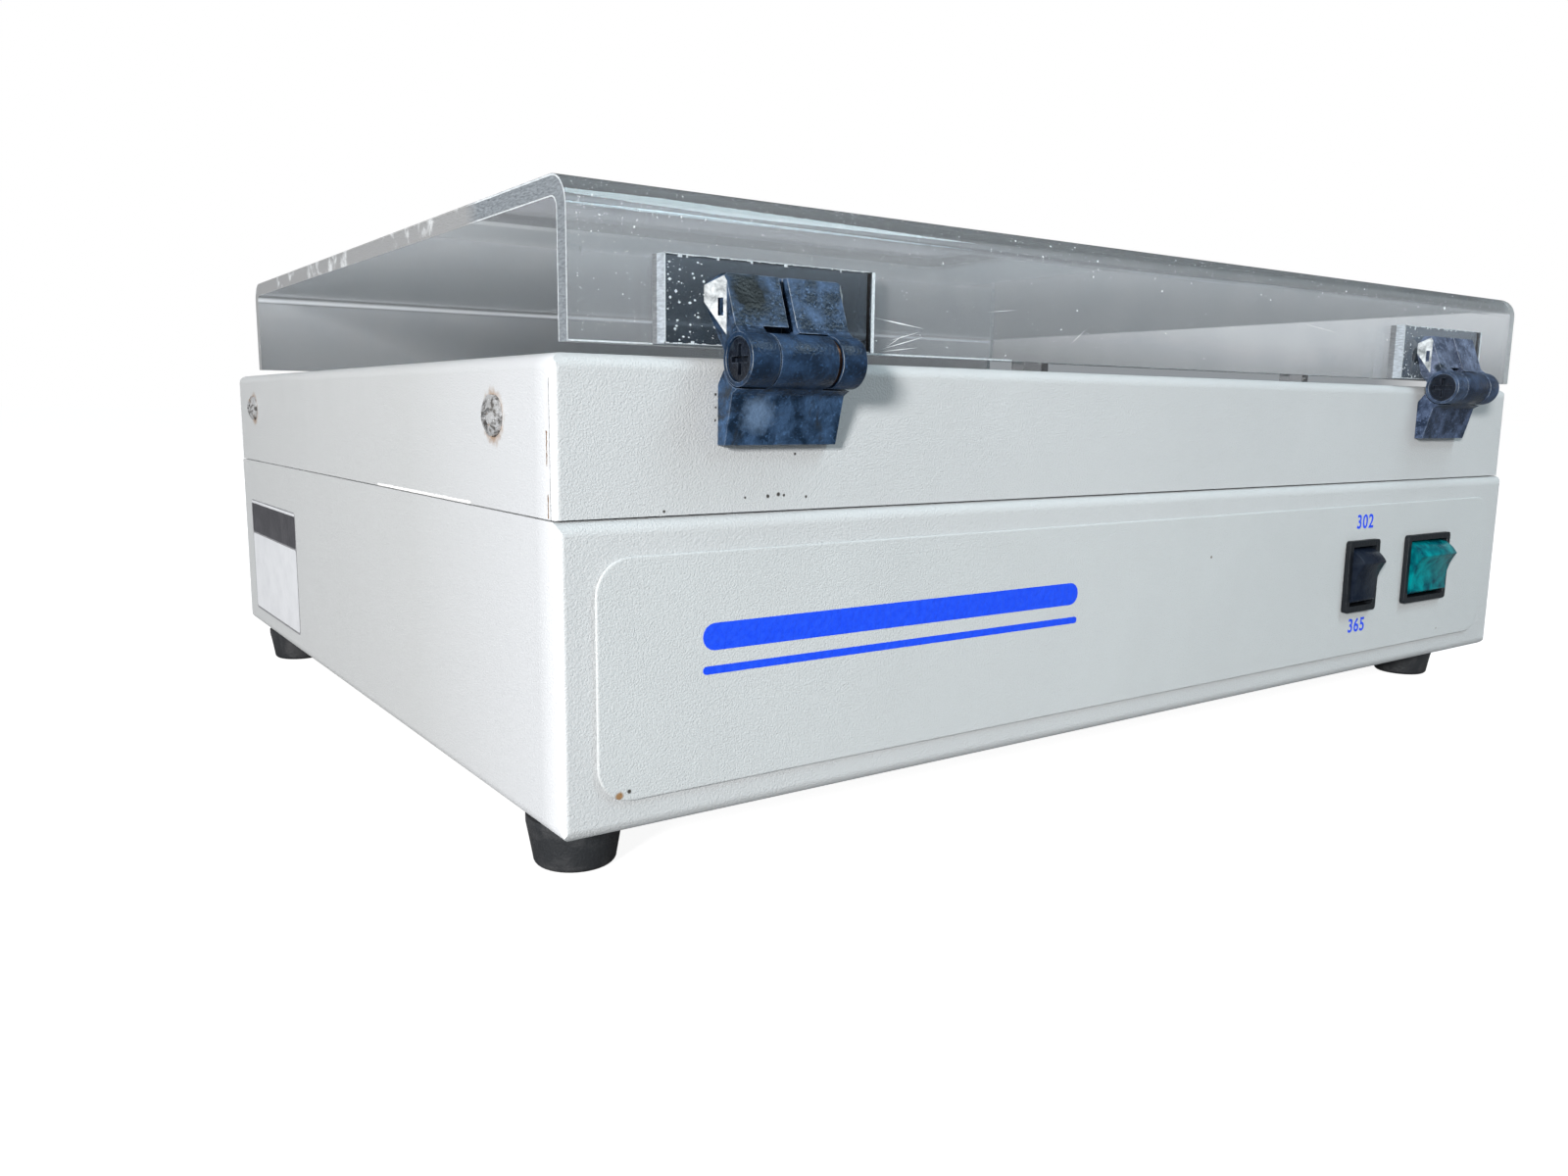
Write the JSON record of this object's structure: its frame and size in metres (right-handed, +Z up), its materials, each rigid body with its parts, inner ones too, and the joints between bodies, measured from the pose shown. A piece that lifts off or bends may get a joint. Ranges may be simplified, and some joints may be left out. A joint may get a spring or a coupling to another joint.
{
  "type": "uv transilluminator",
  "caption": "Benchtop ultraviolet transilluminator: a flat steel lamp housing with a filter window and a clear shield that swings up on friction hinges.",
  "frame": {"origin": "middle of the instrument's outline, on the surface that its feet stand on", "axes": "+Z up, -Y towards the user (the side with the hinges and switches), +X to the user's right"},
  "size_m": [0.4082, 0.3254, 0.1459],
  "materials": {
    "powder_coat": "textured powder coat",
    "panel_coat": "satin powder coat",
    "foot_rubber": "matt",
    "zinc_screw": "zinc plated",
    "zinc_sheet": "zinc plated",
    "housing_screw": "worn zinc plating",
    "filter_glass": "polished",
    "foam_rubber": "matt foam",
    "bright_aluminium": "bright",
    "white_plastic": "moulded",
    "clear_tube": "polished",
    "blue_tube": "polished",
    "ballast_can": "satin",
    "black_plastic": "moulded",
    "nickel_contact": "nickel plated",
    "black_screw": "black oxide",
    "hinge_black": "worn black anodising",
    "hinge_blue": "worn slate blue anodising",
    "bronze": "dark bronze",
    "clear_acrylic": "polished clear sheet",
    "bumper_plastic": "clear",
    "green_rocker": "translucent, polished",
    "black_rocker": "polished"
  },
  "bodies": {
    "base": {"lower_housing": "powder_coat", "front_panel": "panel_coat", "rubber_feet": "foot_rubber", "foot_screws": "zinc_screw", "foot_nuts": "zinc_screw", "top_housing": "powder_coat", "housing_brackets": "zinc_sheet", "housing_screws": "housing_screw", "filter_glass": "filter_glass", "filter_gasket": "foam_rubber", "filter_clamps": "zinc_sheet", "filter_nuts": "zinc_screw", "reflector": "bright_aluminium", "lamp_rails": "zinc_sheet", "lampholders": "white_plastic", "lamps_302": "clear_tube", "lamps_365": "blue_tube", "lamp_caps": "bright_aluminium", "ballasts": "ballast_can", "ballast_screws": "zinc_screw", "terminal_block": "white_plastic", "power_inlet": "black_plastic", "inlet_pins": "nickel_contact", "inlet_screws": "black_screw", "power_switch_body": "black_plastic", "power_switch_terminals": "nickel_contact", "wavelength_switch_body": "black_plastic", "wavelength_switch_terminals": "nickel_contact", "hinge_left_lower_leaf": "hinge_black", "hinge_right_lower_leaf": "hinge_black", "lower_leaf_screws": "zinc_screw", "lower_leaf_washers": "zinc_screw"},
    "cover": {"uv_cover": "clear_acrylic", "hinge_pad_left": "clear_acrylic", "hinge_pad_right": "clear_acrylic", "hinge_left_upper_leaf": "hinge_blue", "hinge_right_upper_leaf": "hinge_blue", "upper_leaf_screws": "zinc_screw", "upper_leaf_washers": "zinc_screw", "hinge_left_pin": "zinc_screw", "hinge_right_pin": "zinc_screw", "hinge_adjusters": "hinge_black", "hinge_thrust_washers": "bronze", "cover_bumpers": "bumper_plastic"},
    "power_rocker": {"power_rocker": "green_rocker"},
    "wavelength_rocker": {"wavelength_rocker": "black_rocker"},
    "fuse_drawer": {"fuse_drawer": "black_plastic", "fuse": "nickel_contact"}
  },
  "joints": [
    {"name": "cover_hinge", "type": "hinge", "parent": "base", "child": "cover", "pos_m": [-0.00438, -0.1571, 0.1102], "axis": [1, 0, 0], "range_deg": [0, 105]},
    {"name": "power_rocker_tilt", "type": "hinge", "parent": "base", "child": "power_rocker", "pos_m": [0.13592, -0.1488, 0.0462], "axis": [-1, 0, 0], "range_deg": [0, 26]},
    {"name": "wavelength_rocker_tilt", "type": "hinge", "parent": "base", "child": "wavelength_rocker", "pos_m": [0.09233, -0.1488, 0.0462], "axis": [-1, 0, 0], "range_deg": [0, 26]},
    {"name": "fuse_drawer_slide", "type": "slide", "parent": "base", "child": "fuse_drawer", "axis": [0, 1, 0], "range_m": [0, 0.014]}
  ]
}
